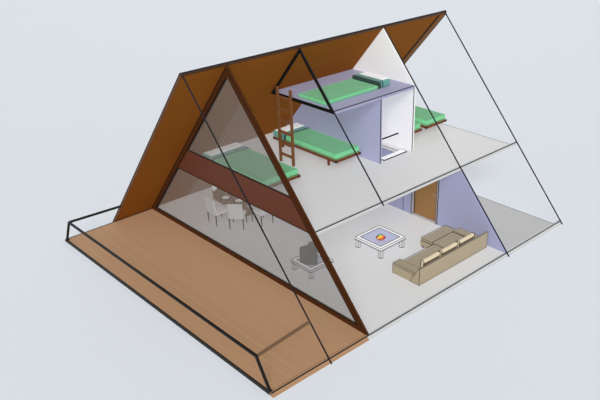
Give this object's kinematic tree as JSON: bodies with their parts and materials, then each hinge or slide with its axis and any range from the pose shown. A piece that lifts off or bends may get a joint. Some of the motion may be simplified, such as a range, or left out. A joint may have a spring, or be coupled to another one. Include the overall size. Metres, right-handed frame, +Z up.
{
  "type": "a-frame cabin",
  "caption": "A-frame cabin on a platform, open along its right slope, with a glazed gable over a railed deck, a loft with beds, a small mezzanine, a hinged inner door and living-room furniture.",
  "frame": {"origin": "on the ground under the middle of the glazed front wall, in the underside of the ground floor", "axes": "+Y from the glazed front to the rear, +X to the right seen from the front, +Z up"},
  "size_m": [10.8478, 12.3, 6.2058],
  "materials": {
    "floor_finish": "matt light grey floor finish",
    "deck_boards": "oiled tan boards",
    "black_paint": "matt black paint",
    "blue_grey_paint": "matt blue-grey paint",
    "roof_lining": "dark brown stained panels",
    "verge_board": "mid brown stain",
    "frame_stain": "dark brown stain",
    "guard_stain": "red-brown stain",
    "glass": "clear sealed units with a grey tint",
    "lilac_panel": "matt lilac paint",
    "white_panel": "matt white paint",
    "door_panel": "tan stain",
    "handle_metal": "brushed",
    "railing_paint": "black paint",
    "ladder_stain": "brown stain",
    "bed_frame_stain": "dark brown stain",
    "mattress_cover": "green cover",
    "pillow_cover": "white cover",
    "table_stain": "brown stain",
    "chair_shell": "white",
    "chair_legs": "dark paint",
    "tableware_glaze": "white glaze",
    "low_table_paint": "white paint",
    "low_table_lilac": "lilac lacquer",
    "television_case": "dark grey",
    "sofa_cover": "beige woven cover"
  },
  "bodies": {
    "cabin": {"ground_floor": "floor_finish", "front_deck": "deck_boards", "deck_edge_boards": "black_paint", "floor_edge_beam": "blue_grey_paint", "left_roof_panel": "roof_lining", "left_front_bargeboard": "black_paint", "left_rear_verge_board": "verge_board", "ridge_beam": "black_paint", "right_rafters": "blue_grey_paint", "glazing_stiles": "frame_stain", "glazing_bottom_rail": "frame_stain", "guard_panel": "guard_stain", "glass_panes": "glass", "loft_floor": "floor_finish", "loft_edge_beam": "blue_grey_paint", "mezzanine_floor": "lilac_panel", "mezzanine_truss": "black_paint", "cross_wall_left": "lilac_panel", "cross_wall_right": "lilac_panel", "cross_wall_head": "lilac_panel", "loft_wall": "white_panel", "gable_wall": "white_panel", "loft_partition": "lilac_panel", "door_frame": "white_panel", "railing_posts": "railing_paint", "front_rail": "railing_paint", "side_rails": "railing_paint", "ladder": "ladder_stain", "hatch_board": "white_panel", "hatch_handrail": "railing_paint", "bed_frames": "bed_frame_stain", "bed_legs": "bed_frame_stain", "mattresses": "mattress_cover", "pillows": "pillow_cover", "dining_table": "table_stain", "dining_chair_shells": "chair_shell", "dining_chair_legs": "chair_legs", "tableware": "tableware_glaze", "low_table_frames": "low_table_paint", "low_table_tops": "low_table_lilac", "television": "television_case", "sofa_frame": "sofa_cover", "sofa_cushions": "sofa_cover"},
    "door": {"door_leaf": "door_panel", "door_handle": "handle_metal"}
  },
  "joints": [
    {"name": "door_hinge", "type": "hinge", "parent": "cabin", "child": "door", "pos_m": [1.4925, 6.139, 0.1], "axis": [0, 0, 1], "range_deg": [0, 100]}
  ]
}
